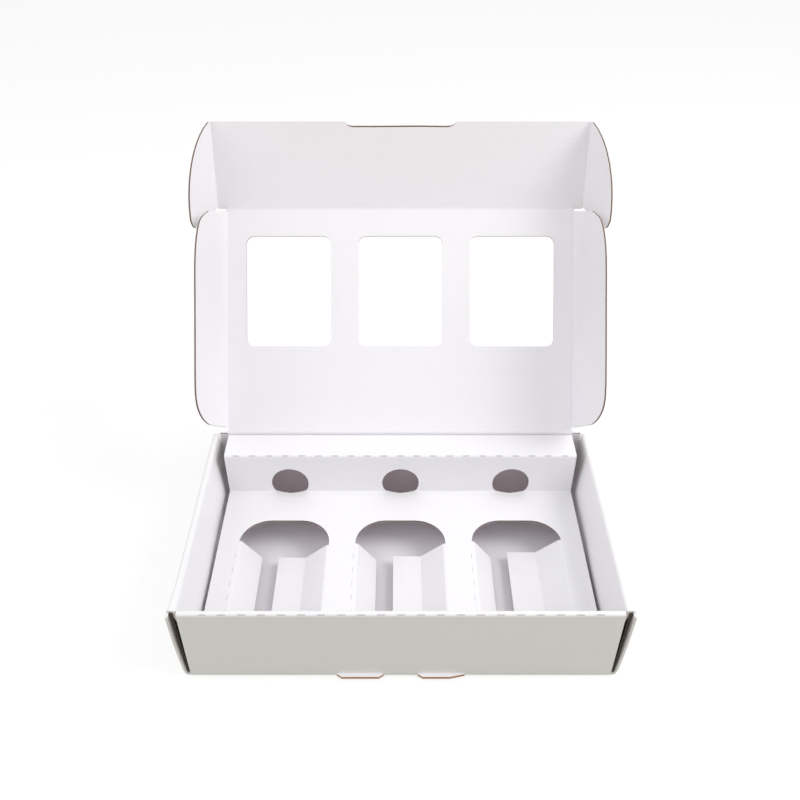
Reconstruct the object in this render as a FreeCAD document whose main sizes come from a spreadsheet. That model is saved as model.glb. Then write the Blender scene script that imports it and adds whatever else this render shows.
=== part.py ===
"""Bottle shipping box: a folded corrugated box with a hinged lid and a folded insert for three bottles.

Millimetres. X runs to the right, Y to the back, Z up. The origin is the centre of the underside.
"""

import FreeCAD, Part
import Sketcher
import os
from math import cos, radians, sin

SIZES = {
    # board
    "board": 1.4,
    "hinge_gap": 0.3,
    "edge_round": 0.6,
    # tray
    "depth": 162.2,
    "wall_height": 57.5,
    "side_slot": 6.9,
    "front_end_gap": 2.05,
    "side_flare": 1.4,
    "side_cavity": 1.45,
    "side_setback": 3.0,
    "side_lean_in": 4.1,
    "front_wall": 3.9,
    "corner_tab": 38.0,
    "lock_tab_out": 2.5,
    "lock_tab_length": 28.2,
    "lock_tab_gap": 20.3,
    "lock_tab_taper": 3.0,
    # lid
    "hinge_lift": 0.4,
    "lid_overhang": 1.0,
    "lid_length": 155.3,
    "window_trim": 0.7,
    "window_length": 76.6,
    "window_start": 59.7,
    "window_offset": 0.8,
    "window_corner": 5.5,
    # side flaps
    "flap_width": 55.5,
    "flap_start": 3.2,
    "flap_end_gap": 1.5,
    "flap_low_corner": 26.0,
    "flap_low_slope": 3.0,
    "flap_high_corner": 20.0,
    "flap_high_slope": 11.0,
    "flap_taper": 3.0,
    # tuck flap
    "tuck_offset": 0.4,
    "tuck_length": 56.8,
    "recess_width": 74.0,
    "recess_depth": 2.5,
    # ears
    "ear_width": 40.2,
    "ear_start": 1.0,
    "ear_drop": 7.5,
    "ear_corner": 9.0,
    "ear_radius": 57.3,
    "ear_spring": 3.0,
    # insert
    "insert_back_gap": 0.3,
    "tuck_slot": 5.2,
    "floor_gap": 0.1,
    "shelf_drop": 0.6,
    "shelf_depth": 23.5,
    "deck_height": 24.3,
    "pocket_width": 59.4,
    "pocket_gap": 17.5,
    "pocket_margin": 13.4,
    "pocket_web": 10.0,
    "pocket_straight": 68.5,
    "shoulder": 20.2,
    "neck_width": 25.5,
    "neck_rise": 7.5,
    "neck_scallop": 2.0,
    # cradle flaps in each pocket
    "cradle_edge_height": 7.5,
    "cradle_left_run": 13.1,
    "cradle_fold_run": 15.8,
    "cradle_fold_height": 10.5,
    "cradle_right_run": 34.5,
}

LID_LEAN = 39.8
FLAP_FOLD = 80.0
TUCK_FOLD = 24.8
EAR_FOLD = 75.0
POCKETS = (-1, 0, 1)
SHEET = "Sizes"
FINE = 1e-3


INSERT_HALF_MM = 1.5 * SIZES["pocket_width"] + SIZES["pocket_gap"] + SIZES["pocket_margin"]
LID_HALF_MM = INSERT_HALF_MM + SIZES["lid_overhang"]
TUCK_HALF_MM = INSERT_HALF_MM + SIZES["side_slot"] + SIZES["tuck_offset"]


def size(name):
    """The cell of a size, as written in an expression."""
    return f"{SHEET}.{name}"


def make_sheet(doc):
    sheet = doc.addObject("Spreadsheet::Sheet", SHEET)
    for row, (name, value) in enumerate(SIZES.items(), start=1):
        sheet.set(f"A{row}", name)
        sheet.set(f"B{row}", str(value))
        sheet.setAlias(f"B{row}", name)
    doc.recompute()


BOARD = size("board")
HALF_BOARD = f"{BOARD} / 2"
HEIGHT = size("wall_height")
PITCH = f"({size('pocket_width')} + {size('pocket_gap')})"
INSERT_HALF = f"({PITCH} + {size('pocket_width')} / 2 + {size('pocket_margin')})"
INSIDE_HALF = f"({INSERT_HALF} + {size('side_slot')})"
LID_HALF = f"({INSERT_HALF} + {size('lid_overhang')})"
TUCK_HALF = f"({INSIDE_HALF} + {size('tuck_offset')})"
BACK = f"{size('depth')} / 2"
FRONT = f"-{size('depth')} / 2"
FRONT_INSIDE = f"{FRONT} + {size('front_wall')}"
SIDE_CAVITY = size("side_cavity")
SIDE_OUT = f"({INSIDE_HALF} - {size('side_flare')} + 2 * {BOARD} + {SIDE_CAVITY})"
FRONT_HALF = f"({SIDE_OUT} - {BOARD} - {size('front_end_gap')})"
HINGE_Z = f"{HEIGHT} + {size('hinge_lift')}"
SHELF_Z = f"{HEIGHT} - {size('shelf_drop')}"
INSERT_BACK = f"{BACK} - {BOARD} - {size('insert_back_gap')}"
INSERT_FRONT = f"{FRONT_INSIDE} + {size('tuck_slot')}"
INSERT_FLOOR = f"{BOARD} + {size('floor_gap')}"
NECK_Y = f"{INSERT_BACK} - {size('shelf_depth')}"
DECK = size("deck_height")


def box(doc, name, across, along, up):
    """A plain panel between two places on each axis."""
    panel = doc.addObject("Part::Box", name)
    for axis, length, (low, high) in zip("xyz", ("Length", "Width", "Height"), (across, along, up)):
        panel.setExpression(length, f"({high}) - ({low})")
        panel.setExpression(f"Placement.Base.{axis}", low)
    return panel


def leaning_panel(doc, name, side, low_inner, thickness, along, up, flare):
    """A side panel that leans outward by the flare between its lower and its upper edge."""
    panel = doc.addObject("Part::Wedge", name)
    panel.Placement = FreeCAD.Placement(FreeCAD.Vector(), FreeCAD.Rotation(FreeCAD.Vector(1, 0, 0), 90))
    low_outer = f"{low_inner} + {thickness}"
    inner, outer = ("min", "max") if side > 0 else ("max", "min")
    panel.setExpression(f"X{inner}", f"{side} * ({low_inner})")
    panel.setExpression(f"X{outer}", f"{side} * ({low_outer})")
    panel.setExpression(f"X2{inner}", f"{side} * ({low_inner} + {flare})")
    panel.setExpression(f"X2{outer}", f"{side} * ({low_outer} + {flare})")
    panel.setExpression("Ymin", up[0])
    panel.setExpression("Ymax", up[1])
    for low, high in (("Zmin", "Zmax"), ("Z2min", "Z2max")):
        panel.setExpression(low, f"-({along[1]})")
        panel.setExpression(high, f"-({along[0]})")
    return panel


def fuse(doc, label, pieces):
    joined = doc.addObject("Part::MultiFuse", label)
    joined.Label = label
    joined.Shapes = pieces
    return joined


def new_body(doc, label):
    body = doc.addObject("PartDesign::Body", label)
    body.Label = label
    return body


def origin_plane(body, role):
    return next(feature for feature in body.Origin.OriginFeatures if feature.Role == role)


def new_sketch(body, name, role, offset):
    sketch = body.newObject("Sketcher::SketchObject", name)
    sketch.AttachmentSupport = [(origin_plane(body, role), "")]
    sketch.MapMode = "FlatFace"
    if offset:
        sketch.setExpression("AttachmentOffset.Base.z", offset)
    return sketch


def add_outline(sketch, points):
    """Add a closed outline whose corners are held at the given places."""
    first = sketch.GeometryCount
    total = len(points)
    angles = [radians(360 * i / total) for i in range(total)]
    start = [FreeCAD.Vector(cos(angle), sin(angle), 0) for angle in angles]
    for i in range(total):
        sketch.addGeometry(Part.LineSegment(start[i], start[(i + 1) % total]), False)
    for i in range(total):
        sketch.addConstraint(Sketcher.Constraint("Coincident", first + i, 2, first + (i + 1) % total, 1))
    for i, place in enumerate(points):
        for kind, expression in zip(("DistanceX", "DistanceY"), place):
            number = sketch.addConstraint(Sketcher.Constraint(kind, -1, 1, first + i, 1, 1.0))
            sketch.setExpression(f"Constraints[{number}]", expression)


def add_circle(sketch, across, along, radius):
    number = sketch.addGeometry(Part.Circle(FreeCAD.Vector(0, 0, 0), FreeCAD.Vector(0, 0, 1), 1), False)
    held = (("DistanceX", (-1, 1, number, 3), across), ("DistanceY", (-1, 1, number, 3), along),
            ("Radius", (number,), radius))
    for kind, what, expression in held:
        constraint = sketch.addConstraint(Sketcher.Constraint(kind, *what, 1.0))
        sketch.setExpression(f"Constraints[{constraint}]", expression)


def outline_sketch(body, name, role, outlines, offset=None):
    sketch = new_sketch(body, name, role, offset)
    for points in outlines:
        add_outline(sketch, points)
    return sketch


def pad(body, sketch, length, symmetric=False):
    feature = body.newObject("PartDesign::Pad", f"{sketch.Name}Pad")
    feature.Profile = sketch
    feature.setExpression("Length", length)
    feature.SideType = "Symmetric" if symmetric else "One side"
    body.Document.recompute()
    return feature


def pocket(body, sketch, length, symmetric=False, reverse=False):
    feature = body.newObject("PartDesign::Pocket", f"{sketch.Name}Pocket")
    feature.Profile = sketch
    feature.setExpression("Length", length)
    feature.SideType = "Symmetric" if symmetric else "One side"
    feature.Reversed = reverse
    body.Document.recompute()
    return feature


def round_edges(body, name, radius, chosen):
    """Round the edges of the body's last feature that the test picks."""
    tip = body.Tip
    edges = [f"Edge{i}" for i, edge in enumerate(tip.Shape.Edges, start=1) if chosen(edge)]
    feature = body.newObject("PartDesign::Fillet", name)
    feature.Base = (tip, edges)
    feature.setExpression("Radius", size(radius))
    body.Document.recompute()
    return feature


def is_upright(edge):
    ends = [vertex.Point for vertex in edge.Vertexes]
    return len(ends) == 2 and abs(ends[0].x - ends[1].x) < FINE and abs(ends[0].y - ends[1].y) < FINE


def lies_at(edge, axis, value):
    return all(abs(getattr(vertex.Point, axis) - value) < FINE for vertex in edge.Vertexes)


def round_hinge_end(body, name, axis, place):
    """Round the end of a panel that turns about a crease."""
    round_edges(body, name, "edge_round", lambda edge: lies_at(edge, axis, place) and not is_upright(edge))


def rectangle(left, right, low, high):
    return [(left, low), (right, low), (right, high), (left, high)]


def make_tray(doc):
    """Bottom, doubled front wall, back wall and doubled side walls of the folded box."""
    wall_top = (f"{HEIGHT} - {BOARD}", HEIGHT)
    above_bottom = (BOARD, HEIGHT)
    between = (FRONT, BACK)
    pieces = [
        box(doc, "Bottom", (f"-{SIDE_OUT}", SIDE_OUT), between, ("0", BOARD)),
        box(doc, "BackWall", (f"-{FRONT_HALF}", FRONT_HALF), (f"{BACK} - {BOARD}", BACK),
            ("0", f"{HINGE_Z} - {HALF_BOARD} - {size('hinge_gap')}")),
        box(doc, "FrontOuter", (f"-{FRONT_HALF}", FRONT_HALF), (FRONT, f"{FRONT} + {BOARD}"), ("0", HEIGHT)),
        box(doc, "FrontInner", (f"-{FRONT_HALF}", FRONT_HALF), (f"{FRONT_INSIDE} - {BOARD}", FRONT_INSIDE),
            above_bottom),
        box(doc, "FrontTop", (f"-{FRONT_HALF}", FRONT_HALF), (FRONT, FRONT_INSIDE), wall_top),
    ]
    setback = f"{FRONT} + {size('side_setback')}"
    rear = f"{BACK} - {BOARD} - {size('hinge_gap')}"
    cavity_low = f"{SIDE_OUT} - {BOARD} - {SIDE_CAVITY}"
    flare = size("side_flare")
    lean_in = size("side_lean_in")
    for side, word in ((1, "Right"), (-1, "Left")):
        pieces.append(leaning_panel(doc, f"{word}Outer", side, f"{SIDE_OUT} - {BOARD}", BOARD, between,
                                    ("0", HEIGHT), flare))
        pieces.append(leaning_panel(doc, f"{word}Inner", side, f"{INSIDE_HALF} - {lean_in}", BOARD,
                                    (setback, rear), above_bottom, lean_in))
        roll = [f"{side} * {INSIDE_HALF}", f"{side} * ({SIDE_OUT} + {flare})"]
        pieces.append(box(doc, f"{word}Roll", roll[::side], (setback, rear), wall_top))
        tab = size("corner_tab")
        jog = [f"{side} * ({FRONT_HALF} - {BOARD})", f"{side} * ({cavity_low} + {SIDE_CAVITY})"]
        low_part = (BOARD, f"{HEIGHT} - {BOARD}")
        for end, near, far in (
            ("Front", f"{FRONT} + {BOARD}", f"{FRONT} + {tab}"),
            ("Back", f"{BACK} - {BOARD}", f"{BACK} - {tab}"),
        ):
            inward = 1 if end == "Front" else -1
            tab_along = [near, far][::inward]
            jog_along = [near, f"{near} + {inward} * {BOARD}"][::inward]
            pieces.append(leaning_panel(doc, f"{word}{end}Tab", side, cavity_low, SIDE_CAVITY, tab_along,
                                        low_part, flare))
            pieces.append(box(doc, f"{word}{end}Jog", jog[::side], jog_along, low_part))
    pieces += make_lock_tabs(doc)
    return fuse(doc, "tray", pieces)


def make_lock_tabs(doc):
    """The two tabs of the inner front panel, with their tips out through the slots along the front crease."""
    body = new_body(doc, "LockTabs")
    start = f"{size('lock_tab_gap')} / 2"
    end = f"{start} + {size('lock_tab_length')}"
    taper = size("lock_tab_taper")
    tip = f"{FRONT} - {size('lock_tab_out')}"
    tabs = []
    for sign in ("", "-"):
        tabs.append([(f"{sign}({start})", FRONT_INSIDE), (f"{sign}({start})", FRONT),
                     (f"{sign}({start} + {taper})", tip), (f"{sign}({end} - {taper})", tip),
                     (f"{sign}({end})", FRONT), (f"{sign}({end})", FRONT_INSIDE)])
    pad(body, outline_sketch(body, "LockTabOutline", "XY_Plane", tabs), BOARD)
    return [body]


def make_insert(doc):
    """The second blank: shelf, neck panel, deck with three pockets, and the legs that carry it."""
    body = new_body(doc, "insert")
    profile = [
        (INSERT_BACK, INSERT_FLOOR), (INSERT_BACK, SHELF_Z), (NECK_Y, SHELF_Z), (NECK_Y, DECK),
        (INSERT_FRONT, DECK), (INSERT_FRONT, INSERT_FLOOR),
        (f"{INSERT_FRONT} + {BOARD}", INSERT_FLOOR), (f"{INSERT_FRONT} + {BOARD}", f"{DECK} - {BOARD}"),
        (f"{NECK_Y} + {BOARD}", f"{DECK} - {BOARD}"), (f"{NECK_Y} + {BOARD}", f"{SHELF_Z} - {BOARD}"),
        (f"{INSERT_BACK} - {BOARD}", f"{SHELF_Z} - {BOARD}"), (f"{INSERT_BACK} - {BOARD}", INSERT_FLOOR),
    ]
    section = outline_sketch(body, "InsertProfile", "YZ_Plane", [profile])
    pad(body, section, f"2 * {INSERT_HALF}", symmetric=True)
    cut_pockets(body)
    cut_necks(body)
    for place in POCKETS:
        add_cradle(body, place)
    return body


def pocket_edges(place):
    centre = f"{place} * {PITCH}"
    half = f"{size('pocket_width')} / 2"
    return f"{centre} - {half}", f"{centre} + {half}"


def cut_pockets(body):
    near = f"{INSERT_FRONT} + {size('pocket_web')}"
    far = f"{near} + {size('pocket_straight')} + {size('shoulder')}"
    outlines = [rectangle(*pocket_edges(place), near, far) for place in POCKETS]
    sketch = outline_sketch(body, "PocketOutlines", "XY_Plane", outlines, offset=f"{DECK} + {BOARD}")
    pocket(body, sketch, f"3 * {BOARD}")
    back = (SIZES["front_wall"] + SIZES["tuck_slot"] + SIZES["pocket_web"] + SIZES["pocket_straight"]
            + SIZES["shoulder"] - SIZES["depth"] / 2)
    round_edges(body, "PocketShoulders", "shoulder",
                lambda edge: is_upright(edge) and lies_at(edge, "y", back))


def cut_necks(body):
    """Arched holes in the neck panel that run on as a shallow scallop in the deck."""
    half = f"{size('neck_width')} / 2"
    spring = f"{DECK} + {size('neck_rise')}"
    before = f"-({NECK_Y} - {size('neck_scallop')})"
    centres = [f"{place} * {PITCH}" for place in POCKETS]
    holes = [rectangle(f"{centre} - {half}", f"{centre} + {half}", f"{DECK} - 2 * {BOARD}", spring)
             for centre in centres]
    arches = new_sketch(body, "NeckArches", "XZ_Plane", before)
    for centre in centres:
        add_circle(arches, centre, spring, half)
    reach = f"{size('neck_scallop')} + 2 * {BOARD}"
    pocket(body, outline_sketch(body, "NeckHoles", "XZ_Plane", holes, offset=before), reach)
    pocket(body, arches, reach)


def add_cradle(body, place):
    """The two flaps of a pocket: one straight down on the left, one with a second fold on the right."""
    left, right = pocket_edges(place)
    under = f"{DECK} - {BOARD}"
    low = size("cradle_edge_height")
    free_left = f"{left} + {size('cradle_left_run')}"
    fold = f"{right} - {size('cradle_fold_run')}"
    fold_z = size("cradle_fold_height")
    free_right = f"{right} - {size('cradle_right_run')}"
    flaps = [
        [(left, DECK), (free_left, f"{low} + {HALF_BOARD}"),
         (f"{free_left} - {BOARD}", f"{low} - {HALF_BOARD}"), (f"{left} - {BOARD}", under)],
        [(right, DECK), (fold, f"{fold_z} + {BOARD}"), (free_right, f"{low} + {HALF_BOARD}"),
         (free_right, f"{low} - {HALF_BOARD}"), (fold, fold_z), (f"{right} + {BOARD}", under)],
    ]
    name = f"Cradle{place + 2}"
    sketch = outline_sketch(body, name, "XZ_Plane", flaps, offset=f"-({INSERT_FRONT} + {size('pocket_web')})")
    feature = pad(body, sketch, size("pocket_straight"))
    feature.Reversed = True
    body.Document.recompute()


def make_lid(doc):
    """The lid panel with its three windows, drawn flat from the hinge axis on."""
    body = new_body(doc, "lid")
    gap = f"{HALF_BOARD} + {size('hinge_gap')}"
    half = f"{LID_HALF} - ({gap})"
    panel = rectangle(f"-({half})", half, f"-{HALF_BOARD}", f"{size('lid_length')} - ({gap})")
    pad(body, outline_sketch(body, "LidPanel", "XY_Plane", [panel]), BOARD, symmetric=True)
    start = size("window_start")
    windows = []
    for place in POCKETS:
        centre = f"{place} * ({PITCH} + {size('window_offset')})"
        reach = f"({size('pocket_width')} - {size('window_trim')}) / 2"
        windows.append(rectangle(f"{centre} - {reach}", f"{centre} + {reach}", start,
                                 f"{start} + {size('window_length')}"))
    pocket(body, outline_sketch(body, "LidWindows", "XY_Plane", windows), f"2 * {BOARD}", symmetric=True)
    outer = LID_HALF_MM - SIZES["board"] / 2 - SIZES["hinge_gap"]
    round_edges(body, "WindowCorners", "window_corner",
                lambda edge: is_upright(edge) and abs(edge.Vertexes[0].Point.x) < outer - FINE)
    round_hinge_end(body, "LidHingeRound", "y", -SIZES["board"] / 2)
    return body


def make_side_flap(doc, label, sign):
    """A side flap, drawn flat outward from its crease with the lid."""
    body = new_body(doc, label)
    width = size("flap_width")
    low = size("flap_start")
    high = f"{size('lid_length')} - {size('flap_end_gap')}"
    low_corner = size("flap_low_corner")
    high_corner = size("flap_high_corner")
    shape = [
        (f"-{HALF_BOARD}", low), (f"{width} - {low_corner}", f"{low} + {size('flap_low_slope')} / 2"),
        (f"{width} - {low_corner} / 3", f"{low} + {low_corner} / 3"), (width, f"{low} + {low_corner}"),
        (f"{width} - {size('flap_taper')}", f"{high} - {size('flap_high_slope')} - {high_corner}"),
        (f"{width} - {high_corner} / 3", f"{high} - {size('flap_high_slope')} - {high_corner} / 3"),
        (f"{width} - {high_corner}", f"{high} - {size('flap_high_slope')}"), (f"-{HALF_BOARD}", high),
    ]
    outline = [(f"{sign} * ({across})", along) for across, along in shape]
    pad(body, outline_sketch(body, f"{label}Outline", "XY_Plane", [outline]), BOARD, symmetric=True)
    round_hinge_end(body, f"{label}Round", "x", -sign * SIZES["board"] / 2)
    return body


def make_tuck_flap(doc):
    """The tuck flap, with a recess in its free edge for the two locking tabs."""
    body = new_body(doc, "tuck_flap")
    half = f"{TUCK_HALF} - {HALF_BOARD} - {size('hinge_gap')}"
    length = size("tuck_length")
    recess = f"{size('recess_width')} / 2"
    depth = size("recess_depth")
    outline = [
        (f"-({half})", f"-{HALF_BOARD}"), (half, f"-{HALF_BOARD}"), (half, length), (recess, length),
        (f"{recess} - {depth}", f"{length} - {depth}"), (f"-({recess} - {depth})", f"{length} - {depth}"),
        (f"-{recess}", length), (f"-({half})", length),
    ]
    pad(body, outline_sketch(body, "TuckOutline", "XY_Plane", [outline]), BOARD, symmetric=True)
    round_hinge_end(body, "TuckHingeRound", "y", -SIZES["board"] / 2)
    return body


def make_ear(doc, label, sign):
    """An ear of the tuck flap, cut to a round outer edge and drawn flat outward from its crease."""
    body = new_body(doc, label)
    width = size("ear_width")
    length = size("tuck_length")
    low = f"-{size('ear_drop')}"
    corner = size("ear_corner")
    shape = [
        (f"-{HALF_BOARD}", size("ear_start")), (f"{width} - {corner}", low),
        (f"{width} - {corner} / 3", f"{low} + {corner} / 3"), (width, f"{low} + {corner}"),
        (width, length), (f"-{HALF_BOARD}", length),
    ]
    outline = [(f"{sign} * ({across})", along) for across, along in shape]
    pad(body, outline_sketch(body, f"{label}Outline", "XY_Plane", [outline]), BOARD, symmetric=True)
    radius = size("ear_radius")
    centre = (f"{sign} * ({width} - {radius})", size("ear_spring"))
    reach = f"({radius} + {width})"
    left, right, near, far = [f"{middle} {way} {reach}" for middle in centre for way in "-+"]
    outside = outline_sketch(body, f"{label}Outside", "XY_Plane", [rectangle(left, right, near, far)])
    add_circle(outside, *centre, radius)
    pocket(body, outside, f"2 * {BOARD}", symmetric=True)
    round_hinge_end(body, f"{label}Round", "x", -sign * SIZES["board"] / 2)
    return body


def turned(axis, angle, place=(0, 0, 0)):
    return FreeCAD.Placement(FreeCAD.Vector(*place), FreeCAD.Rotation(FreeCAD.Vector(*axis), angle))


def place_pieces(lid, flaps, tuck, ears):
    """Stand the lid up at its lean, and fold each flap from the panel that carries it."""
    hinge = (0, SIZES["depth"] / 2 - SIZES["board"] / 2, SIZES["wall_height"] + SIZES["hinge_lift"])
    lid.Placement = turned((1, 0, 0), 90 - LID_LEAN, hinge)
    for sign, flap in flaps:
        crease = (sign * LID_HALF_MM, 0, 0)
        flap.Placement = lid.Placement.multiply(turned((0, -sign, 0), FLAP_FOLD, crease))
    tuck.Placement = lid.Placement.multiply(turned((1, 0, 0), TUCK_FOLD, (0, SIZES["lid_length"], 0)))
    for sign, ear in ears:
        crease = (sign * TUCK_HALF_MM, 0, 0)
        ear.Placement = tuck.Placement.multiply(turned((0, -sign, 0), EAR_FOLD, crease))


def check(doc, pieces):
    for thing in doc.Objects:
        if {"Invalid", "Error"} & set(thing.State):
            raise RuntimeError(f"{thing.Label} did not recompute")
    for piece in pieces:
        if piece.Shape.isNull() or not piece.Shape.isValid():
            raise RuntimeError(f"{piece.Label} has no valid shape")


doc = FreeCAD.newDocument("BottleShippingBox")
make_sheet(doc)
tray = make_tray(doc)
insert = make_insert(doc)
lid = make_lid(doc)
flaps = [(-1, make_side_flap(doc, "left_side_flap", -1)), (1, make_side_flap(doc, "right_side_flap", 1))]
tuck_flap = make_tuck_flap(doc)
ears = [(-1, make_ear(doc, "left_ear", -1)), (1, make_ear(doc, "right_ear", 1))]
place_pieces(lid, flaps, tuck_flap, ears)
doc.recompute()
pieces = [tray, insert, lid, tuck_flap] + [piece for side, piece in flaps + ears]
check(doc, pieces)
os.makedirs("parts", exist_ok=True)
for piece in pieces:
    piece.Shape.exportStep(f"parts/{piece.Label}.step")
    print(piece.Label, len(piece.Shape.Solids), round(piece.Shape.Volume, 1))
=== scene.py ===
"""Bottle shipping box: folded white corrugated board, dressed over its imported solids."""

from math import atan2, ceil, cos, degrees, hypot, pi, radians, sin, tan

import bmesh
import bpy
from mathutils import Matrix, Vector, noise


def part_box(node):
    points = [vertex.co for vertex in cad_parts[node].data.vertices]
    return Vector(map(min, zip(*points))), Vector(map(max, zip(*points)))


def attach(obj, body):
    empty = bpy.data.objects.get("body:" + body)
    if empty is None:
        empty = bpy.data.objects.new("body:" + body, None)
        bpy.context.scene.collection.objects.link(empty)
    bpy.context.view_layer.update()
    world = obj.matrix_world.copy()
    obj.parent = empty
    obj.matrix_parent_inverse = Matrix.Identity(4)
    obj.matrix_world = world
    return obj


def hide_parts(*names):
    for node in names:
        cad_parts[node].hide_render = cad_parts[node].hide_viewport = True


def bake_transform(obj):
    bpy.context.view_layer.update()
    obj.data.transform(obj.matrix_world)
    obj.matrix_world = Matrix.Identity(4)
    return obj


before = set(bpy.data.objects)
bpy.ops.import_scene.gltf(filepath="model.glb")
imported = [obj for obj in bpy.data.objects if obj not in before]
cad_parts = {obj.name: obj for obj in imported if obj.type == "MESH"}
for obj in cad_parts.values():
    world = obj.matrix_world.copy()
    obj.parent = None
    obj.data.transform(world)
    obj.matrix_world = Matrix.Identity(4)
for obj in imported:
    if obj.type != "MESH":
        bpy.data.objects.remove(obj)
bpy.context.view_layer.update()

MM = 0.001
BOARD = 1.4


def box_mm(node):
    """The lowest and the highest corner of a solid, in millimetres."""
    return [Vector(corner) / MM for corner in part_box(node)]


# tray
TRAY_HIGH = box_mm("tray")[1]
DEPTH = 2 * TRAY_HIGH.y
HEIGHT = TRAY_HIGH.z
SIDE_HIGH = TRAY_HIGH.x
SIDE_LOW = SIDE_HIGH - 1.4
SIDE_WALL = 4.25
SIDE_FLANGE = 118.0
SIDE_LEAN_IN = 4.1
SIDE_LEAN_SHARES = ((0.48, 0.67), (0.82, 0.36))
FRONT_LEAN = 1.3
FRONT_LEAN_START = 30.0
FRONT_LEAN_LENGTH = 60.0
SETBACK = 3.0
FRONT_HALF = SIDE_LOW - BOARD - 2.05
FRONT_WALL = 3.9
BOW = 1.6
BOW_LENGTH = 30.0
BOW_HEIGHT = 38.0
CORNER_TAB = 38.0
CORNER_TAB_SETBACK = 1.7
CORNER_TAB_BOW = 0.6
LOCK_TAB = (10.2, 38.4)
LOCK_TAB_ROOT = -79.0
LOCK_TAB_SHOULDER = -81.3
LOCK_TAB_TIP = -83.5
LOCK_TAB_SWELL = 1.7
LOCK_TAB_TAPERS = {"left": 3.0, "right": 9.0}

# insert
INSERT_LOW, INSERT_HIGH = box_mm("insert")
INSERT_HALF = INSERT_HIGH.x
INSERT_BACK = INSERT_HIGH.y
INSERT_FRONT = INSERT_LOW.y
SHELF_TOP = INSERT_HIGH.z
SHELF_FRONT = INSERT_BACK - 23.5
DECK_TOP = 24.3
POCKET_PITCH = 76.9
POCKET_CENTRES = (-POCKET_PITCH, 0.0, POCKET_PITCH)
POCKET_HALF = 29.7
POCKET_FRONT = INSERT_FRONT + 10.0
POCKET_SHOULDER = 6.5
SHOULDER = 20.2
NECK_CENTRES = (-76.8, 0.1, 76.9)
NECK_RADIUS = 12.75
NECK_CENTRE = 31.8
CRADLE_BACKS = ((7.6, 4.0), (5.4, 5.2), (7.4, 9.0))

# lid, flaps and ears
HINGE_Y = DEPTH / 2 - BOARD / 2
HINGE_Z = HEIGHT + 0.4
LID_LEAN = 39.8
LID_HALF = INSERT_HALF + 1.0
LID_LENGTH = 155.3
WINDOW = (58.7, 76.6)
WINDOW_START = 59.7
WINDOW_PITCH = 77.7
WINDOW_CORNER = 5.5
FLAP_FOLD = 80.0
FLAP_NEAR = 3.2
FLAP_FAR = 153.6
FLAP_CURVE = [(33.0, 145.2), (46.2, 136.6), (52.4, 124.4), (55.0, 108.6), (55.3, 80.0), (55.5, 48.0),
              (55.3, 27.3), (52.7, 16.6), (45.6, 9.4), (34.4, 4.9), (20.0, 3.9)]
TUCK_FOLD = 24.8
TUCK_HALF = 127.3
TUCK_LENGTH = 56.8
TUCK_TIP = TUCK_LENGTH - 0.15
RECESS_HALF = 37.0
RECESS_LOW = TUCK_LENGTH - 2.5
RECESS_PRESSED = 1.1
EAR_FOLD = 75.0
EAR_WIDTH = 40.2
EAR_RADIUS = 57.3
EAR_SPRING = 3.0
EAR_SWEEP = (68.0, -4.0)
EAR_TAIL = [(38.9, -3.0), (37.3, -5.2), (34.6, -6.7), (31.6, -7.3)]
CREASE = 1.1

# cut slits of a perforated fold
SLIT_LENGTH = 4.6
SLIT_WIDTH = 0.16
FINE_SLIT = 0.1
SLIT_PITCH = 11.2
SLITS_ALONG_SHELF = 21
SLITS_BESIDE_POCKET = 5
POCKET_SLIT_PITCH = 11.6

# how the board is cut and bent
GRID = 14.0
WOBBLE = 0.08
EASED_EDGE = 0.13
FOLD_STEPS = 5
FLUTE_PITCH = 3.3
LINER = 0.2
RIDGE = 0.026

# light and camera
AMBIENT = 0.7
LAMPS = (
    ("key", (0.95, -0.1, 1.0), 0.7, 8.4, (1.0, 0.99, 0.98)),
    ("left_fill", (-1.0, -0.2, 0.9), 1.0, 4.2, (0.99, 0.99, 1.0)),
    ("front_fill", (-0.2, -0.9, 1.3), 1.4, 1.2, (0.99, 0.99, 1.0)),
)
LIT_PLACE = (0, 0.05, 0.08)
PHOTO_SIZE = 800.0
SENSOR = 36.0
FOCAL_LENGTH = 863.23
PHOTO_CENTRE = (397.89, 458.99)
CAMERA_PLACE = (-0.0017, -0.3882, 0.4402)
CAMERA_TILT = 49.0


def arc_points(centre, radius, start, end, steps):
    """Points on an arc, by angles in degrees."""
    return [(centre[0] + radius * cos(radians(start + (end - start) * i / steps)),
             centre[1] + radius * sin(radians(start + (end - start) * i / steps))) for i in range(steps + 1)]


def rounded_rectangle(left, right, low, high, radius):
    """A rectangle with its four corners rounded, as points."""
    corners = (((right - radius, high - radius), 0), ((left + radius, high - radius), 90),
               ((left + radius, low + radius), 180), ((right - radius, low + radius), 270))
    return [point for centre, start in corners for point in arc_points(centre, radius, start, start + 90, 6)]


def slit(centre, along, across_fold=False, opening=SLIT_WIDTH):
    """A narrow cut with pointed ends, lying along the fold."""
    half, width = SLIT_LENGTH / 2, opening / 2
    shape = [(-half, 0), (-half + width, -width), (half - width, -width), (half, 0),
             (half - width, width), (-half + width, width)]
    if across_fold:
        shape = [(y, x) for x, y in shape]
    return [(centre + x, along + y) for x, y in shape]


def smooth_outline(points):
    """A smooth curve through the points, for an edge cut in one sweep."""
    found = []
    steps = 5
    for i in range(len(points) - 1):
        before = points[max(i - 1, 0)]
        after = points[min(i + 2, len(points) - 1)]
        start, end = points[i], points[i + 1]
        for n in range(steps):
            t = n / steps
            found.append(tuple(0.5 * (2 * start[k] + (end[k] - before[k]) * t
                                      + (2 * before[k] - 5 * start[k] + 4 * end[k] - after[k]) * t * t
                                      + (3 * start[k] - before[k] - 3 * end[k] + after[k]) * t ** 3)
                               for k in (0, 1)))
    return found + [points[-1]]


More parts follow.
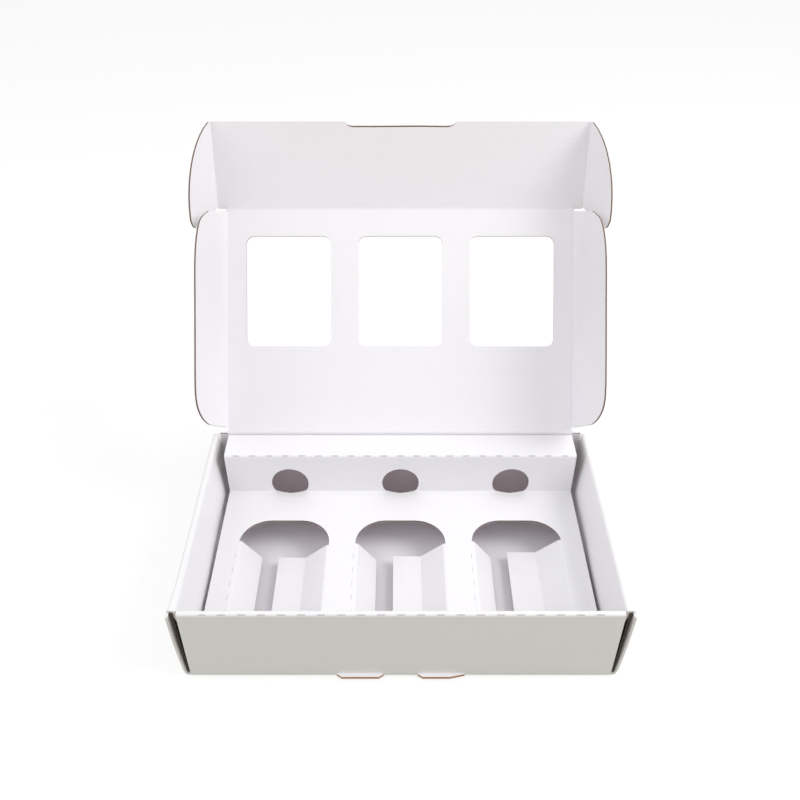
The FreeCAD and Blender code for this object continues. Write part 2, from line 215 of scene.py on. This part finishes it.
def cut_blank(outline, holes=(), grid=GRID):
    """A flat piece of board, cut to its outline with its holes, and gridded so that it can bend."""
    bm = bmesh.new()
    for loop in (outline, *holes):
        verts = [bm.verts.new((x + WOBBLE * noise.noise(Vector((x, y, 3)) * 0.15),
                               y + WOBBLE * noise.noise(Vector((x, y, 9)) * 0.15), BOARD / 2))
                 for x, y in loop]
        for i, vert in enumerate(verts):
            bm.edges.new((vert, verts[(i + 1) % len(verts)]))
    bmesh.ops.triangle_fill(bm, use_beauty=True, use_dissolve=False, edges=bm.edges[:], normal=(0, 0, 1))
    for axis in (0, 1):
        low = min(v.co[axis] for v in bm.verts)
        high = max(v.co[axis] for v in bm.verts)
        for n in range(1, ceil((high - low) / grid)):
            cut_across(bm, axis, low + n * grid)
    return bm


def cut_across(bm, axis, place):
    """Divide a flat blank along a straight line, so that it can bend there."""
    normal = Vector((0, 0, 0))
    normal[axis] = 1
    bmesh.ops.bisect_plane(bm, geom=bm.verts[:] + bm.edges[:] + bm.faces[:], dist=1e-4,
                           plane_co=normal * place, plane_no=normal)


def thicken(bm):
    """Give the cut blank its board thickness, ease its cut edges and note where each point lay when flat."""
    faces = bm.faces[:]
    extruded = bmesh.ops.extrude_face_region(bm, geom=faces)
    moved = [item for item in extruded["geom"] if isinstance(item, bmesh.types.BMVert)]
    bmesh.ops.translate(bm, verts=moved, vec=(0, 0, -BOARD))
    bmesh.ops.recalc_face_normals(bm, faces=bm.faces[:])
    rims = [edge for edge in bm.edges if len(edge.link_faces) == 2
            and abs(edge.link_faces[0].normal.z - edge.link_faces[1].normal.z) > 0.5]
    bmesh.ops.bevel(bm, geom=rims, offset=EASED_EDGE, segments=1, profile=0.5, affect="EDGES", material=-1,
                    clamp_overlap=True)
    flat = bm.verts.layers.float_vector.new("flat")
    for vert in bm.verts:
        vert[flat] = vert.co
    return flat


def fold(bm, flat, start, length, angle):
    """Bend everything past the start of a fold, in small turns spread over the fold's length."""
    for n in range(FOLD_STEPS):
        place = start + (n + 0.5) * length / FOLD_STEPS
        moving = [vert for vert in bm.verts if vert[flat].y >= place - 1e-4]
        line = [vert for vert in moving if vert[flat].y < place + 1e-3]
        upper = [vert.co for vert in line if vert[flat].z > 0.5]
        lower = [vert.co for vert in line if vert[flat].z < -0.5]
        middle = (sum(upper, Vector()) / len(upper) + sum(lower, Vector()) / len(lower)) / 2
        turn = Matrix.Rotation(radians(angle / FOLD_STEPS), 3, "X")
        bmesh.ops.rotate(bm, verts=moving, cent=middle, matrix=turn)


def flat_route(corners, radius):
    """Where a board's middle lies when flat: straight runs, and folds between the corners of its section."""
    runs, folds, length = [], [], 0.0
    headings = [atan2(b[1] - a[1], b[0] - a[0]) for a, b in zip(corners, corners[1:])]
    spans = [hypot(b[0] - a[0], b[1] - a[1]) for a, b in zip(corners, corners[1:])]
    turns = [(after - before + pi) % (2 * pi) - pi for before, after in zip(headings, headings[1:])]
    eaten = [radius * tan(abs(turn) / 2) for turn in turns]
    for i, span in enumerate(spans):
        span -= (eaten[i - 1] if i else 0) + (eaten[i] if i < len(turns) else 0)
        runs.append((length, length + span))
        length += span
        if i < len(turns):
            folds.append((length, radius * abs(turns[i]), degrees(turns[i])))
            length += radius * abs(turns[i])
    return runs, folds, length, headings[0]


def finish(bm, flat, name, body, material, place, turned=False):
    """Turn the board into an object that rides on a body. Where turned, its flutes run along the strip."""
    bmesh.ops.scale(bm, vec=(MM, MM, MM), verts=bm.verts[:])
    bmesh.ops.transform(bm, matrix=place, verts=bm.verts[:])
    if turned:
        for vert in bm.verts:
            vert[flat] = vert[flat].yxz
    mesh = bpy.data.meshes.new(name)
    bm.to_mesh(mesh)
    bm.free()
    piece = bpy.data.objects.new(name, mesh)
    bpy.context.scene.collection.objects.link(piece)
    mesh.materials.append(material)
    if body:
        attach(piece, body)
    return piece


def bent_board(name, corners, outline_of, material, place=Matrix(), holes_of=None, radius=1.5, body="base",
               turned=False):
    """A strip of board whose section follows the corners; its outline is set by its runs when flat."""
    runs, folds, length, heading = flat_route(corners, radius)
    bm = cut_blank(outline_of(runs, length), holes_of(runs, folds) if holes_of else ())
    for start, span, turn in folds:
        for n in range(FOLD_STEPS):
            cut_across(bm, 1, start + (n + 0.5) * span / FOLD_STEPS)
    flat = thicken(bm)
    for start, span, turn in folds:
        fold(bm, flat, start, span, turn)
    origin = Matrix.Translation((0, corners[0][0] * MM, corners[0][1] * MM))
    return finish(bm, flat, name, body, material, place @ origin @ Matrix.Rotation(heading, 4, "X"), turned)


def flat_board(name, outline, material, place, body, holes=()):
    """A flat panel of board, cut to its outline."""
    bm = cut_blank(outline, holes)
    flat = thicken(bm)
    return finish(bm, flat, name, body, material, place)


# finishes


def set_socket(node, name, value):
    """Set a constant on a node's own socket."""
    node.inputs[name].default_value = value


def math_node(tree, operation, first, second=None, third=None):
    """A sum on links or numbers, given back as its output socket."""
    node = tree.nodes.new("ShaderNodeMath")
    node.operation = operation
    for socket, value in zip(node.inputs, (first, second, third)):
        if value is None:
            continue
        if isinstance(value, (int, float)):
            socket.default_value = value
        else:
            tree.links.new(value, socket)
    return node.outputs[0]


def mix_colour(tree, factor, first, second):
    """A blend of two colours, given back as its output socket."""
    node = tree.nodes.new("ShaderNodeMix")
    node.data_type = "RGBA"
    for socket, value in ((node.inputs[0], factor), (node.inputs[6], first), (node.inputs[7], second)):
        if isinstance(value, bpy.types.NodeSocket):
            tree.links.new(value, socket)
        else:
            socket.default_value = value
    return node.outputs[2]


def corrugation_group():
    """Flutes under the liners: faint ridges on the faces, and the wave between the liners at a cut edge."""
    group = bpy.data.node_groups.new("corrugation", "ShaderNodeTree")
    for name, kind, way in (("Flat", "NodeSocketVector", "INPUT"), ("Pitch", "NodeSocketFloat", "INPUT"),
                            ("Liner", "NodeSocketFloat", "INPUT"), ("Ridge", "NodeSocketFloat", "OUTPUT"),
                            ("Edge", "NodeSocketFloat", "OUTPUT"), ("Flute", "NodeSocketFloat", "OUTPUT"),
                            ("Outside", "NodeSocketFloat", "OUTPUT")):
        group.interface.new_socket(name, in_out=way, socket_type=kind)
    given = group.nodes.new("NodeGroupInput")
    wanted = group.nodes.new("NodeGroupOutput")
    parts = group.nodes.new("ShaderNodeSeparateXYZ")
    group.links.new(given.outputs["Flat"], parts.inputs[0])
    wander = group.nodes.new("ShaderNodeTexNoise")
    set_socket(wander, "Scale", 0.05)
    group.links.new(given.outputs["Flat"], wander.inputs["Vector"])
    across = math_node(group, "MULTIPLY_ADD", wander.outputs[0], 0.8, parts.outputs[1])
    angle = math_node(group, "MULTIPLY", math_node(group, "DIVIDE", across, given.outputs["Pitch"]), 2 * pi)
    wave = math_node(group, "SINE", angle)
    depth = math_node(group, "ABSOLUTE", parts.outputs[2])
    inner = math_node(group, "SUBTRACT", BOARD / 2, given.outputs["Liner"])
    edge = math_node(group, "LESS_THAN", depth, inner)
    path = math_node(group, "MULTIPLY", wave, math_node(group, "SUBTRACT", inner, 0.1))
    off = math_node(group, "ABSOLUTE", math_node(group, "SUBTRACT", parts.outputs[2], path))
    flute = math_node(group, "LESS_THAN", off, 0.17)
    group.links.new(math_node(group, "MULTIPLY_ADD", wave, 0.5, 0.5), wanted.inputs["Ridge"])
    group.links.new(edge, wanted.inputs["Edge"])
    group.links.new(flute, wanted.inputs["Flute"])
    group.links.new(math_node(group, "LESS_THAN", parts.outputs[2], 0.0), wanted.inputs["Outside"])
    return group


def darker(colour):
    """A darker tone of a liner's colour, for its random mottling and for the painted shade between the
    ridges.
    """
    return tuple(part * 0.93 for part in colour[:3]) + (1,)


# The hollows between the flutes at a cut edge: brown medium darkened with painted shade.
HOLLOW_SHADE_BROWN = (0.07, 0.045, 0.035, 1)
FLUTE_BROWN = (0.36, 0.23, 0.15, 1)


def board_material(name, slot, inside, outside, hollow_shade=HOLLOW_SHADE_BROWN, medium=FLUTE_BROWN):
    """White-lined corrugated board: mottled paper over faint ridges with painted shade between them, and at
    every cut edge brown flutes with painted shade in the hollows between them.
    """
    material = bpy.data.materials.new(name)
    material.use_nodes = True
    material["slot"] = slot
    tree = material.node_tree
    shader = tree.nodes["Principled BSDF"]
    flat = tree.nodes.new("ShaderNodeAttribute")
    flat.attribute_name = "flat"
    flutes = tree.nodes.new("ShaderNodeGroup")
    flutes.node_tree = CORRUGATION
    set_socket(flutes, "Pitch", FLUTE_PITCH)
    set_socket(flutes, "Liner", LINER)
    tree.links.new(flat.outputs["Vector"], flutes.inputs["Flat"])
    pulp = tree.nodes.new("ShaderNodeTexNoise")
    set_socket(pulp, "Scale", 0.12)
    set_socket(pulp, "Detail", 4.0)
    tree.links.new(flat.outputs["Vector"], pulp.inputs["Vector"])
    fibre = tree.nodes.new("ShaderNodeTexNoise")
    set_socket(fibre, "Scale", 2.2)
    set_socket(fibre, "Detail", 3.0)
    tree.links.new(flat.outputs["Vector"], fibre.inputs["Vector"])
    paper = mix_colour(tree, flutes.outputs["Outside"], inside, outside)
    shade = mix_colour(tree, flutes.outputs["Outside"], darker(inside), darker(outside))
    mottled = mix_colour(tree, math_node(tree, "MULTIPLY", pulp.outputs[0], 0.35), paper, shade)
    # Painted shade between the flute ridges, darkening the liner's colour along them.
    ridge_shaded = mix_colour(tree, math_node(tree, "MULTIPLY", flutes.outputs["Ridge"], RIDGE * 6), mottled, shade)
    # At a cut edge: the flutes' medium, with painted shade in the hollows between them.
    cut = mix_colour(tree, flutes.outputs["Flute"], hollow_shade, medium)
    tree.links.new(mix_colour(tree, flutes.outputs["Edge"], ridge_shaded, cut), shader.inputs["Base Color"])
    relief = math_node(tree, "MULTIPLY_ADD", flutes.outputs["Ridge"], RIDGE,
                       math_node(tree, "MULTIPLY", fibre.outputs[0], 0.02))
    sunk = math_node(tree, "MULTIPLY_ADD", math_node(tree, "MULTIPLY", flutes.outputs["Edge"],
                     math_node(tree, "SUBTRACT", 1.0, flutes.outputs["Flute"])), -0.3, relief)
    bump = tree.nodes.new("ShaderNodeBump")
    set_socket(bump, "Strength", 0.6)
    set_socket(bump, "Distance", MM)
    tree.links.new(sunk, bump.inputs["Height"])
    tree.links.new(bump.outputs["Normal"], shader.inputs["Normal"])
    tree.links.new(math_node(tree, "MULTIPLY_ADD", pulp.outputs[0], 0.2, 0.5), shader.inputs["Roughness"])
    set_socket(shader, "Specular IOR Level", 0.3)
    return material


INSIDE_WHITE = (0.875, 0.855, 0.895, 1)
OUTSIDE_WHITE = (0.86, 0.85, 0.865, 1)
CORRUGATION = corrugation_group()
LINED_BOARD = board_material("lined_board", "white_board", INSIDE_WHITE, OUTSIDE_WHITE)
WALL_BOARD = board_material("wall_board", "white_board", INSIDE_WHITE, OUTSIDE_WHITE,
                            hollow_shade=(0.80, 0.77, 0.78, 1), medium=(0.88, 0.86, 0.89, 1))
DECK_WHITE = (0.87, 0.86, 0.885, 1)
PLAIN_BACK = (0.80, 0.71, 0.73, 1)
INSERT_BOARD = board_material("insert_board", "insert_board", PLAIN_BACK, DECK_WHITE)
CRADLE_BOARD = board_material("cradle_board", "insert_board", DECK_WHITE, DECK_WHITE)
# Painted shade: the corner tabs' board, liners, flutes and hollows alike, is dark brown for the shade in the
# narrow wedge beside the front wall.
CORNER_SHADE_BROWN = (0.10, 0.072, 0.055, 1)
CORNER_TAB_SHADE_BOARD = board_material("corner_tab_shade_board", "white_board", CORNER_SHADE_BROWN, CORNER_SHADE_BROWN,
                                  hollow_shade=(0.02, 0.015, 0.012, 1), medium=(0.09, 0.062, 0.045, 1))
LOCK_TAB_BOARD = board_material("lock_tab_board", "white_board", (0.88, 0.86, 0.87, 1), (0.88, 0.86, 0.86, 1),
                                hollow_shade=(0.42, 0.22, 0.12, 1), medium=(0.74, 0.46, 0.28, 1))


# tray


SIDEWAYS = Matrix.Rotation(-pi / 2, 4, "Z")
MIRRORED = Matrix.Scale(-1, 4, (1, 0, 0))


def strip_outline(half):
    """The outline of a plain strip, straight from end to end."""
    return lambda runs, length: [(-half, 0), (half, 0), (half, length), (-half, length)]


def fold_slits(fold_index, half):
    """Fine slits along one fold of a strip, from edge to edge."""
    def made(runs, folds):
        start, span, turn = folds[fold_index]
        count = int((2 * half - 16) / SLIT_PITCH)
        return [slit((n - (count - 1) / 2) * SLIT_PITCH, start + span * 0.5, opening=FINE_SLIT)
                for n in range(count)]
    return made


def make_tray():
    """The tray: doubled front wall, bottom and back wall in one strip, then its side walls and tabs."""
    middle = BOARD / 2
    front, back = -DEPTH / 2 + middle, DEPTH / 2 - middle
    inner = -DEPTH / 2 + FRONT_WALL - middle
    corners = [(inner, BOARD + 0.2), (inner, HEIGHT - middle), (front, HEIGHT - middle), (front, middle),
               (back, middle), (back, HINGE_Z - CREASE)]
    centre = bent_board("tray_bottom_and_walls", corners, strip_outline(FRONT_HALF), LINED_BOARD,
                        holes_of=fold_slits(1, FRONT_HALF), radius=0.95)
    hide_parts("tray")
    for word, mirror in (("right", Matrix()), ("left", MIRRORED)):
        make_side_wall(word, mirror)
        make_corner_tabs(word, mirror)
    for word, sign in (("right", 1), ("left", -1)):
        make_lock_tab(word, sign)


def make_side_wall(word, mirror):
    """A side wall: outer panel, roll over the top and inner panel, which leans in towards the bottom."""
    middle = BOARD / 2
    spread = SIDE_WALL - BOARD
    top = HEIGHT - middle
    inner = SIDE_HIGH - middle - spread
    corners = [(SIDE_FLANGE, middle + 0.02), (SIDE_LOW - middle, middle + 0.02), (SIDE_HIGH - middle, top),
               (inner, top),
               *[(inner - SIDE_LEAN_IN * share, HEIGHT * height) for share, height in SIDE_LEAN_SHARES],
               (inner - SIDE_LEAN_IN * 0.95, BOARD + 0.3)]

    def outline(runs, length):
        roll = runs[1][1] - 0.5
        front, back = DEPTH / 2, -DEPTH / 2
        set_in = front - SETBACK
        low_front = front - 1.0
        rear = back + BOARD + 0.3
        return [(low_front, 0), (low_front, runs[1][0] + 1.0), (front, runs[1][0] + 4.0), (front, roll),
                (set_in, roll + 0.8), (set_in, length), (rear, length), (rear, roll + 0.8), (back, roll),
                (back, 0)]
    wall = bent_board(f"tray_{word}_wall", corners, outline, WALL_BOARD, mirror @ SIDEWAYS, radius=1.25,
                      turned=True)
    mend_mirror(wall, mirror)
    bow_front_end(wall, SIDE_LOW - BOARD - 0.5, BOW)
    lean_front_half(wall)
    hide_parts("tray")


def bow_front_end(piece, beyond, amount):
    """Let the front end of a side panel spring outward a little, beyond a place across the box."""
    for vert in piece.data.vertices:
        x, y, z = vert.co / MM
        reach = max(0.0, (-y - DEPTH / 2 + BOW_LENGTH) / BOW_LENGTH)
        if abs(x) > beyond and z > BOARD:
            rise = sin(min(1.0, z / BOW_HEIGHT) * pi / 2)
            vert.co.x += MM * amount * reach ** 2 * rise * (1 if x > 0 else -1)


def lean_front_half(wall):
    """Let the inner panel lean in further at the front, where the side flaps don't come down as deep."""
    for vert in wall.data.vertices:
        x, y, z = vert.co / MM
        between_panels = 126.0 + 3.0 * z / HEIGHT
        if abs(x) < between_panels and z > BOARD + 0.2:
            reach = min(1.0, max(0.0, (FRONT_LEAN_START - y) / FRONT_LEAN_LENGTH))
            depth = min(1.0, (HEIGHT - z) / (HEIGHT - DECK_TOP))
            vert.co.x -= MM * FRONT_LEAN * reach ** 2 * (3 - 2 * reach) * depth * (1 if x > 0 else -1)


def mend_mirror(piece, mirror):
    """Turn the faces of a mirrored piece outward again."""
    if mirror.determinant() > 0:
        return
    bm = bmesh.new()
    bm.from_mesh(piece.data)
    bmesh.ops.reverse_faces(bm, faces=bm.faces[:])
    bm.to_mesh(piece.data)
    bm.free()


def make_corner_tabs(word, mirror):
    """The hidden tabs between the two side panels. Their board is painted dark brown as the shade in the
    narrow wedge, so they show as dark bands beside the front wall.
    """
    lean = Matrix.Rotation(atan2(SIDE_HIGH - SIDE_LOW, HEIGHT), 4, "Y")
    upright = Matrix.Rotation(-pi / 2, 4, "Z") @ Matrix.Rotation(pi / 2, 4, "X")
    place = mirror @ Matrix.Translation(((SIDE_LOW - SIDE_WALL / 2) * MM, 0, 0)) @ lean @ upright
    near, far = DEPTH / 2 - CORNER_TAB_SETBACK, DEPTH / 2 - CORNER_TAB
    top = HEIGHT - BOARD - 0.3
    for end, low, high in (("front", far, near), ("back", -near, -far)):
        outline = [(low, 2.0), (high, 2.0), (high, top), (low, top)]
        tab = flat_board(f"corner_tab_{word}_{end}", outline, CORNER_TAB_SHADE_BOARD, place, "base")
        mend_mirror(tab, mirror)
        bow_front_end(tab, 0.0, CORNER_TAB_BOW)
        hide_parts("tray")


def make_lock_tab(word, sign):
    """A locking tab of the inner front panel, its tip through the slot along the bottom crease."""
    start, end = LOCK_TAB
    shape = [(start, LOCK_TAB_ROOT), (start, LOCK_TAB_SHOULDER), (start + 3.0, LOCK_TAB_TIP),
             (end - LOCK_TAB_TAPERS[word], LOCK_TAB_TIP), (end, LOCK_TAB_SHOULDER), (end, LOCK_TAB_ROOT)]
    if sign < 0:
        shape = [(-x, y) for x, y in reversed(shape)]
    lift = Matrix.Translation((0, 0, (BOARD * LOCK_TAB_SWELL / 2 + 0.05) * MM))
    place = lift @ Matrix.Scale(LOCK_TAB_SWELL, 4, (0, 0, 1))
    tab = flat_board(f"lock_tab_{word}", shape, LOCK_TAB_BOARD, place, "base")
    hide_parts("tray")


# insert


def pocket_opening(centre, flat_of):
    """One pocket when flat: straight sides, round shoulders and a flat top."""
    left, right = centre - POCKET_HALF, centre + POCKET_HALF
    top = POCKET_SHOULDER + SHOULDER
    points = [(right, POCKET_FRONT), *arc_points((right - SHOULDER, POCKET_SHOULDER), SHOULDER, 0, 90, 12),
              *arc_points((left + SHOULDER, POCKET_SHOULDER), SHOULDER, 90, 180, 12), (left, POCKET_FRONT)]
    return [(x, flat_of(y)) for x, y in points]


def neck_hole(centre, crease):
    """An arched hole above the deck's crease, with a shallow scallop below it."""
    spring = crease - (NECK_CENTRE - DECK_TOP) - BOARD / 2
    arch = arc_points((centre, spring), NECK_RADIUS, 180, 360, 22)
    right = [(12.5, spring + 2.6), (11.8, spring + 5.2), (10.0, crease - 0.3), (5.4, crease + 1.5)]
    scallop = right + [(0.0, crease + 2.5)] + [(-x, y) for x, y in reversed(right)]
    return arch + [(centre + x, y) for x, y in scallop]


def make_insert():
    """The insert: back leg, shelf, neck panel, deck and front leg in one strip, then its cradles."""
    middle = BOARD / 2
    back, shelf = INSERT_BACK - middle, SHELF_TOP - middle
    neck, deck = SHELF_FRONT + middle, DECK_TOP - middle
    front = INSERT_FRONT + middle
    foot = BOARD + 0.2
    corners = [(back, foot), (back, shelf), (neck, shelf), (neck, deck), (front, deck), (front, foot)]

    def holes(runs, folds):
        deck_end = runs[3][1]
        neck_crease = folds[2][0] + folds[2][1] / 2
        shelf_fold = folds[1][0] + folds[1][1] / 2

        def when_flat(y):
            return deck_end + front + 1.2 - y
        found = [pocket_opening(centre, when_flat) for centre in POCKET_CENTRES]
        for centre in POCKET_CENTRES:
            beside = centre - POCKET_HALF - 1.0
            found += [slit(beside, when_flat(-6.0 - n * POCKET_SLIT_PITCH), across_fold=True)
                      for n in range(SLITS_BESIDE_POCKET)]
        found += [neck_hole(centre, neck_crease) for centre in NECK_CENTRES]
        found += [slit((n - SLITS_ALONG_SHELF // 2) * SLIT_PITCH, shelf_fold)
                  for n in range(SLITS_ALONG_SHELF)]
        return found
    insert = bent_board("insert_sheet", corners, strip_outline(INSERT_HALF), INSERT_BOARD, holes_of=holes,
                        radius=1.2)
    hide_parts("insert")
    for n, centre in enumerate(POCKET_CENTRES):
        make_cradle(n, centre)


def make_cradle(n, centre):
    """The two flaps of a pocket: one plain, one folded a second time."""
    left, right = centre - POCKET_HALF, centre + POCKET_HALF
    deck = DECK_TOP - BOARD / 2
    back_left, back_right = CRADLE_BACKS[n]
    near = -POCKET_FRONT - 0.3
    plain_flap = [(left - 0.2, deck), (left + 1.2, deck - 0.2), (left + 13.1, 7.5)]
    folded_flap = [(right + 0.2, deck), (right - 1.2, deck - 0.2), (right - 15.8, 11.2), (right - 34.5, 7.5)]
    shapes = (("left", plain_flap, -back_left, 0.0), ("right", folded_flap, -back_right, 3.6))
    for word, corners, far, slant in shapes:
        def outline(runs, length, far=far, slant=slant):
            return [(far, 0), (near, 0), (near, length), (far - slant, length), (far, runs[-1][0])]
        flap = bent_board(f"cradle_{n + 1}_{word}", corners, outline, CRADLE_BOARD, SIDEWAYS, radius=0.9,
                          turned=True)
        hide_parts("insert")


# lid, flaps and ears


HINGE = Matrix.Translation((0, HINGE_Y * MM, HINGE_Z * MM))
LID_FRAME = HINGE @ Matrix.Rotation(radians(90 - LID_LEAN), 4, "X")
LID_END = LID_FRAME @ Matrix.Translation((0, LID_LENGTH * MM, 0))
TUCK_FRAME = LID_END @ Matrix.Rotation(radians(TUCK_FOLD), 4, "X")


def side_edge(carrier, half, sign):
    """The place of a panel's left or right edge."""
    return carrier @ Matrix.Translation((sign * half * MM, 0, 0))


def side_frame(carrier, half, sign, angle):
    """The place of a panel folded up from the left or right edge of another."""
    return side_edge(carrier, half, sign) @ Matrix.Rotation(-sign * radians(angle), 4, "Y")


def make_lid():
    """The lid panel with its three windows."""
    half = LID_HALF - CREASE
    outline = [(-half, CREASE), (half, CREASE), (half, LID_LENGTH - CREASE), (-half, LID_LENGTH - CREASE)]
    windows = [rounded_rectangle(x - WINDOW[0] / 2, x + WINDOW[0] / 2, WINDOW_START, WINDOW_START + WINDOW[1],
                                 WINDOW_CORNER)
               for x in (-WINDOW_PITCH, 0.0, WINDOW_PITCH)]
    lid = flat_board("lid_panel", outline, LINED_BOARD, LID_FRAME, "lid", windows)
    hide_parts("lid")


def make_side_flap(word, sign):
    """A side flap of the lid, with rounded outer corners."""
    curve = smooth_outline(FLAP_CURVE)
    shape = [(CREASE, FLAP_FAR)] + curve + [(CREASE, FLAP_NEAR)]
    outline = [(sign * x, y) for x, y in shape]
    place = side_frame(LID_FRAME, LID_HALF, sign, FLAP_FOLD)
    flap = flat_board(f"{word}_side_flap_panel", outline, LINED_BOARD, place, f"{word}_side_flap")
    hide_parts(f"{word}_side_flap")


def make_tuck_flap():
    """The tuck flap, whose recess has its inner liner pressed back so that the board's core shows."""
    half = TUCK_HALF - CREASE
    low = RECESS_LOW
    recess = [(37.2, TUCK_TIP), (36.4, TUCK_LENGTH - 1.2), (34.6, TUCK_LENGTH - 2.2), (31.5, low)]
    outline = [(-half, 0.1), (-LID_HALF, 0.1), (-LID_HALF, CREASE), (LID_HALF, CREASE), (LID_HALF, 0.1),
               (half, 0.1), (half, TUCK_TIP), *recess, (12.0, low + 0.25), (-14.0, low),
               *[(-x, y) for x, y in reversed(recess)], (-half, TUCK_TIP)]
    bm = cut_blank(outline, grid=12.0)
    flat = thicken(bm)
    for vert in bm.verts:
        if abs(vert.co.x) < RECESS_HALF and vert.co.y > low - 0.5 and vert.co.z > 0.5:
            vert.co.y -= RECESS_PRESSED * min(1.0, (RECESS_HALF - abs(vert.co.x)) / 4)
    tuck = finish(bm, flat, "tuck_flap_panel", "tuck_flap", LINED_BOARD, TUCK_FRAME)
    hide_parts("tuck_flap")


def make_ear(word, sign):
    """An ear of the tuck flap: one round sweep from the tip, a rounded tail and a slanting lower edge."""
    centre = EAR_WIDTH - EAR_RADIUS
    sweep = arc_points((centre, EAR_SPRING), EAR_RADIUS, *EAR_SWEEP, 24)
    shape = [(CREASE, TUCK_TIP), (2.8, TUCK_TIP)] + sweep + smooth_outline(EAR_TAIL) + [(CREASE, 1.0)]
    outline = [(sign * x, y) for x, y in shape]
    place = side_frame(TUCK_FRAME, TUCK_HALF, sign, EAR_FOLD)
    ear = flat_board(f"{word}_ear_panel", outline, LINED_BOARD, place, f"{word}_ear")
    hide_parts(f"{word}_ear")


def crease_strip(name, carrier, low, high, angle, sideways=0):
    """The bent strip of board over a crease, between the panel that carries it and the panel that turns."""
    across, along = CREASE * cos(radians(angle)), CREASE * sin(radians(angle))
    if sideways < 0:
        low, high = -high, -low
    place = carrier
    if sideways:
        place = carrier @ Matrix.Rotation(-sideways * pi / 2, 4, "Z")

    def outline(runs, length):
        return [(low, 0), (high, 0), (high, length), (low, length)]
    strip = bent_board(name, [(-CREASE, 0.0), (0.0, 0.0), (across, along)], outline, LINED_BOARD, place,
                       radius=CREASE * 0.98 / tan(radians(abs(angle)) / 2), body=None, turned=bool(sideways))
    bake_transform(strip)


def make_creases():
    """The creases of the lid, its side flaps, the tuck flap and the ears."""
    upright = HINGE @ Matrix.Rotation(pi / 2, 4, "X")
    crease_strip("lid_crease", upright, -LID_HALF, LID_HALF, -LID_LEAN)
    crease_strip("tuck_crease", LID_END, -LID_HALF + 0.2, LID_HALF - 0.2, TUCK_FOLD)
    for word, sign in (("left", -1), ("right", 1)):
        crease_strip(f"{word}_flap_crease", side_edge(LID_FRAME, LID_HALF, sign), -FLAP_FAR, -FLAP_NEAR,
                     FLAP_FOLD, sign)
        crease_strip(f"{word}_ear_crease", side_edge(TUCK_FRAME, TUCK_HALF, sign), -TUCK_TIP, -1.0,
                     EAR_FOLD, sign)


# floor, light and camera


def seen_directly(tree):
    """One for camera, glossy and transmission rays, and nought for the light itself."""
    path = tree.nodes.new("ShaderNodeLightPath")
    seen = math_node(tree, "MAXIMUM", path.outputs["Is Camera Ray"], path.outputs["Is Glossy Ray"])
    return math_node(tree, "MAXIMUM", seen, path.outputs["Is Transmission Ray"])


FLOOR_REACH = 6.0
FLOOR_DROP = 0.0002
FLOOR_TINT = (0.36, 0.345, 0.25, 1)
FLOOR_SHARE = 0.35
FLOOR_GLOW = 1.03


def camera_white(name, colour, share):
    """A pale surface that the camera, gloss and glass see as plain white, with a share of its own shading."""
    material = bpy.data.materials.new(name)
    material.use_nodes = True
    tree = material.node_tree
    shader = tree.nodes["Principled BSDF"]
    seen = seen_directly(tree)
    tree.links.new(mix_colour(tree, seen, colour, (1, 1, 1, 1)), shader.inputs["Base Color"])
    set_socket(shader, "Roughness", 0.9)
    glow = tree.nodes.new("ShaderNodeEmission")
    set_socket(glow, "Strength", FLOOR_GLOW)
    blend = tree.nodes.new("ShaderNodeMixShader")
    tree.links.new(math_node(tree, "MULTIPLY", seen, 1 - share), blend.inputs[0])
    tree.links.new(shader.outputs[0], blend.inputs[1])
    tree.links.new(glow.outputs[0], blend.inputs[2])
    tree.links.new(blend.outputs[0], tree.nodes["Material Output"].inputs["Surface"])
    return material


def make_floor():
    """A plain pale floor just under the box."""
    bm = bmesh.new()
    bmesh.ops.create_grid(bm, x_segments=4, y_segments=4, size=FLOOR_REACH)
    bmesh.ops.translate(bm, verts=bm.verts[:], vec=(0, 0, -FLOOR_DROP))
    mesh = bpy.data.meshes.new("floor")
    bm.to_mesh(mesh)
    bm.free()
    floor = bpy.data.objects.new("floor", mesh)
    bpy.context.scene.collection.objects.link(floor)
    mesh.materials.append(camera_white("pale_floor", FLOOR_TINT, FLOOR_SHARE))


def make_world():
    """Soft light from all round, seen as plain white."""
    world = bpy.data.worlds.new("studio")
    bpy.context.scene.world = world
    world.use_nodes = True
    tree = world.node_tree
    background = tree.nodes["Background"]
    strength = math_node(tree, "MULTIPLY_ADD", seen_directly(tree), 1 - AMBIENT, AMBIENT)
    tree.links.new(strength, background.inputs["Strength"])
    set_socket(background, "Color", (1, 1, 1, 1))


def make_lamps():
    """Three soft square lamps turned to the box."""
    for name, place, extent, power, colour in LAMPS:
        lamp = bpy.data.lights.new(name, "AREA")
        lamp.shape = "SQUARE"
        lamp.size = extent
        lamp.energy = power
        lamp.color = colour
        holder = bpy.data.objects.new(name, lamp)
        bpy.context.scene.collection.objects.link(holder)
        holder.location = place
        holder.rotation_euler = (Vector(LIT_PLACE) - Vector(place)).to_track_quat("-Z", "Y").to_euler()


def make_camera():
    """The photograph's camera, in pixels of its 800 by 800 frame."""
    camera = bpy.data.cameras.new("camera")
    camera.sensor_width = SENSOR
    camera.lens = FOCAL_LENGTH * SENSOR / PHOTO_SIZE
    camera.shift_x = (PHOTO_SIZE / 2 - PHOTO_CENTRE[0]) / PHOTO_SIZE
    camera.shift_y = (PHOTO_CENTRE[1] - PHOTO_SIZE / 2) / PHOTO_SIZE
    camera.clip_start = 0.01
    holder = bpy.data.objects.new("camera", camera)
    bpy.context.scene.collection.objects.link(holder)
    holder.location = CAMERA_PLACE
    holder.rotation_euler = (radians(CAMERA_TILT), 0, 0)
    bpy.context.scene.camera = holder


make_tray()
make_insert()
make_lid()
make_tuck_flap()
for side_word, side_sign in (("left", -1), ("right", 1)):
    make_side_flap(side_word, side_sign)
    make_ear(side_word, side_sign)
make_creases()
make_floor()
make_world()
make_lamps()
make_camera()
bpy.context.scene.view_settings.view_transform = "Standard"
